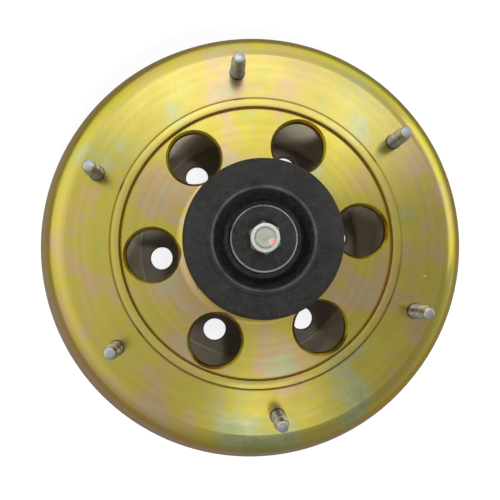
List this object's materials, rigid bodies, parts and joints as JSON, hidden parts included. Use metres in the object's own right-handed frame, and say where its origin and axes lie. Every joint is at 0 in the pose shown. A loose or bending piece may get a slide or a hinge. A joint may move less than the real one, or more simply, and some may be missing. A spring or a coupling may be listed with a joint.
{
  "type": "air-operated fan clutch",
  "caption": "Round spring-engaged, air-released cone clutch that couples an engine cooling fan to its drive pulley, with a plated drum, studs for the fan and a black spring cap.",
  "frame": {"origin": "centre of the rear mounting face", "axes": "+Z along the spin axis, from the rear mounting face to the spring cap; +X through the middle of one access hole"},
  "size_m": [0.3206, 0.3206, 0.1665],
  "materials": {
    "yellow_zinc": "turned steel with a glossy yellow chromate over zinc, iridescent",
    "bright_zinc": "bright zinc plate",
    "cast_iron": "dark sand casting with machined faces",
    "black_casting": "satin black over a fine cast skin",
    "lining": "pressed friction lining",
    "black_steel": "black oxide steel",
    "ground_steel": "ground bearing steel",
    "cage_steel": "pressed steel",
    "spring_steel": "oiled spring steel",
    "aluminium": "turned aluminium",
    "bronze": "bearing bronze",
    "rubber": "black nitrile rubber"
  },
  "bodies": {
    "drive": {"drive_hub": "cast_iron", "friction_lining": "lining", "spindle": "bright_zinc", "spindle_screws": "black_steel", "inlet_seal": "rubber", "guide_pins": "ground_steel", "spring_cap": "black_casting", "spindle_nut": "bright_zinc", "engagement_spring": "spring_steel"},
    "piston": {"spring_seat": "ground_steel", "release_piston": "aluminium", "sliding_bushes": "bronze", "piston_seal": "rubber", "spindle_seal": "rubber", "inner_rings": "ground_steel", "tab_washer": "ground_steel", "bearing_lock_nut": "black_steel"},
    "roller_sets": {"rollers": "ground_steel", "roller_cages": "cage_steel"},
    "fan_drum": {"fan_disc": "yellow_zinc", "fan_studs": "bright_zinc", "outer_rings": "ground_steel", "grease_seals": "rubber"}
  },
  "joints": [
    {"name": "release", "type": "slide", "parent": "drive", "child": "piston", "axis": [0, 0, 1], "range_m": [0, 0.0025], "stiffness_N_per_m": 20000, "springref_m": -0.004, "deforming": ["engagement_spring"]},
    {"name": "roller_orbit", "type": "hinge", "parent": "piston", "child": "roller_sets", "pos_m": [0, 0, 0.0755], "axis": [0, 0, 1], "continuous": true},
    {"name": "fan_spin", "type": "hinge", "parent": "piston", "child": "fan_drum", "pos_m": [0, 0, 0.0755], "axis": [0, 0, 1], "continuous": true}
  ],
  "couplings": [
    {"joint": "roller_orbit", "follows": "fan_spin", "ratio": 0.572}
  ]
}
